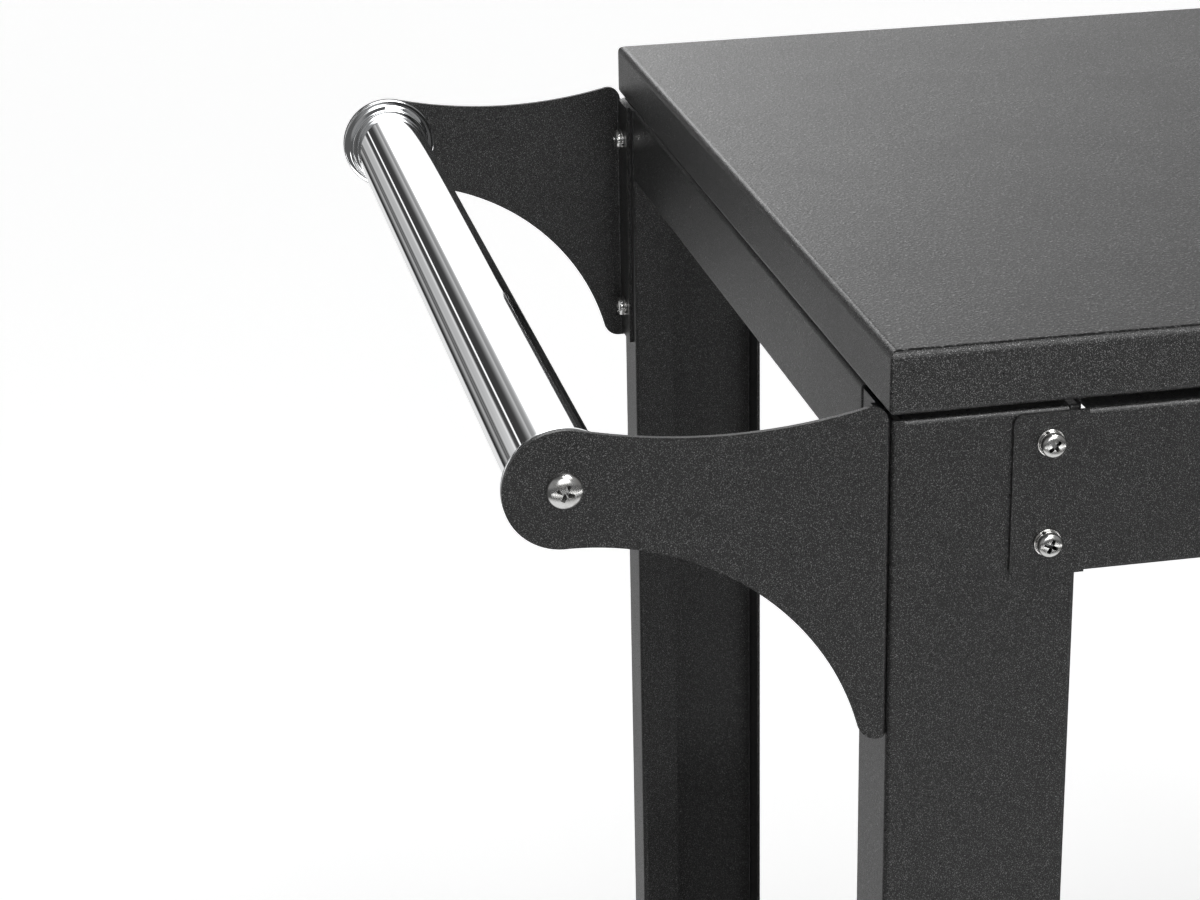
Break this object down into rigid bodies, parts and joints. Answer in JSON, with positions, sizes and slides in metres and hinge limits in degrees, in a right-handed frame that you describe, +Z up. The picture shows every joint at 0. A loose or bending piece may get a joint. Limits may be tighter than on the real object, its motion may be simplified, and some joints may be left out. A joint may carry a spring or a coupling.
{
  "type": "grill cart",
  "caption": "Rolling grill side cart: folded sheet-steel table with a lower shelf on swivel casters, with a chrome tube handle on shaped brackets at one end",
  "frame": {"origin": "on the floor, under the middle of the overall size with the casters trailing to the left", "axes": "+X from the handle end to the other end, +Y from front to back, +Z up"},
  "size_m": [1.0096, 0.514, 0.86],
  "materials": {
    "top_coat": "fine-textured satin powder coat, black",
    "frame_coat": "fine-textured satin powder coat, black",
    "zinc": "bright zinc plate",
    "chrome": "polished chrome plate",
    "plug_plastic": "moulded",
    "caster_steel": "zinc plate",
    "bearing_steel": "greased",
    "hub_plastic": "moulded",
    "tyre": "matt",
    "pedal_plastic": "moulded"
  },
  "bodies": {
    "cart_frame": {"tabletop": "top_coat", "tabletop_stiffeners": "frame_coat", "tabletop_screws": "zinc", "tabletop_nuts": "zinc", "leg_front_left": "frame_coat", "leg_front_right": "frame_coat", "leg_rear_left": "frame_coat", "leg_rear_right": "frame_coat", "foot_plates": "frame_coat", "front_rail": "frame_coat", "rear_rail": "frame_coat", "rail_screws": "zinc", "rail_lock_washers": "zinc", "rail_flat_washers": "zinc", "rail_nuts": "zinc", "left_apron": "frame_coat", "right_apron": "frame_coat", "apron_screws": "zinc", "apron_nuts": "zinc", "handle_bracket_front": "frame_coat", "handle_bracket_rear": "frame_coat", "bracket_screws": "zinc", "bracket_lock_washers": "zinc", "bracket_nuts": "zinc", "handle_tube": "chrome", "handle_collars": "chrome", "handle_end_plugs": "plug_plastic", "handle_screws": "zinc", "lower_shelf": "frame_coat", "shelf_stiffeners": "frame_coat", "shelf_screws": "zinc", "shelf_nuts": "zinc", "caster_stems": "caster_steel", "caster_stem_nuts": "zinc", "caster_bearing_rings": "bearing_steel"},
    "caster_front_left": {"fork_front_left": "caster_steel", "axle_front_left": "caster_steel", "brake_pin_front": "caster_steel"},
    "wheel_front_left": {"hub_front_left": "hub_plastic", "tyre_front_left": "tyre"},
    "pedal_front": {"brake_pedal_front": "pedal_plastic"},
    "caster_front_right": {"fork_front_right": "caster_steel", "axle_front_right": "caster_steel"},
    "wheel_front_right": {"hub_front_right": "hub_plastic", "tyre_front_right": "tyre"},
    "caster_rear_left": {"fork_rear_left": "caster_steel", "axle_rear_left": "caster_steel", "brake_pin_rear": "caster_steel"},
    "wheel_rear_left": {"hub_rear_left": "hub_plastic", "tyre_rear_left": "tyre"},
    "pedal_rear": {"brake_pedal_rear": "pedal_plastic"},
    "caster_rear_right": {"fork_rear_right": "caster_steel", "axle_rear_right": "caster_steel"},
    "wheel_rear_right": {"hub_rear_right": "hub_plastic", "tyre_rear_right": "tyre"}
  },
  "joints": [
    {"name": "swivel_front_left", "type": "hinge", "parent": "cart_frame", "child": "caster_front_left", "pos_m": [-0.32035, -0.22, 0.096], "axis": [0, 0, 1], "continuous": true},
    {"name": "roll_front_left", "type": "hinge", "parent": "caster_front_left", "child": "wheel_front_left", "pos_m": [-0.34835, -0.22, 0.0375], "axis": [0, 1, 0], "continuous": true},
    {"name": "brake_front", "type": "hinge", "parent": "caster_front_left", "child": "pedal_front", "pos_m": [-0.35435, -0.22, 0.0805], "axis": [0, -1, 0], "range_deg": [0, 25]},
    {"name": "swivel_front_right", "type": "hinge", "parent": "cart_frame", "child": "caster_front_right", "pos_m": [0.46765, -0.22, 0.096], "axis": [0, 0, 1], "continuous": true},
    {"name": "roll_front_right", "type": "hinge", "parent": "caster_front_right", "child": "wheel_front_right", "pos_m": [0.43965, -0.22, 0.0375], "axis": [0, 1, 0], "continuous": true},
    {"name": "swivel_rear_left", "type": "hinge", "parent": "cart_frame", "child": "caster_rear_left", "pos_m": [-0.32035, 0.22, 0.096], "axis": [0, 0, 1], "continuous": true},
    {"name": "roll_rear_left", "type": "hinge", "parent": "caster_rear_left", "child": "wheel_rear_left", "pos_m": [-0.34835, 0.22, 0.0375], "axis": [0, 1, 0], "continuous": true},
    {"name": "brake_rear", "type": "hinge", "parent": "caster_rear_left", "child": "pedal_rear", "pos_m": [-0.35435, 0.22, 0.0805], "axis": [0, -1, 0], "range_deg": [0, 25]},
    {"name": "swivel_rear_right", "type": "hinge", "parent": "cart_frame", "child": "caster_rear_right", "pos_m": [0.46765, 0.22, 0.096], "axis": [0, 0, 1], "continuous": true},
    {"name": "roll_rear_right", "type": "hinge", "parent": "caster_rear_right", "child": "wheel_rear_right", "pos_m": [0.43965, 0.22, 0.0375], "axis": [0, 1, 0], "continuous": true}
  ]
}
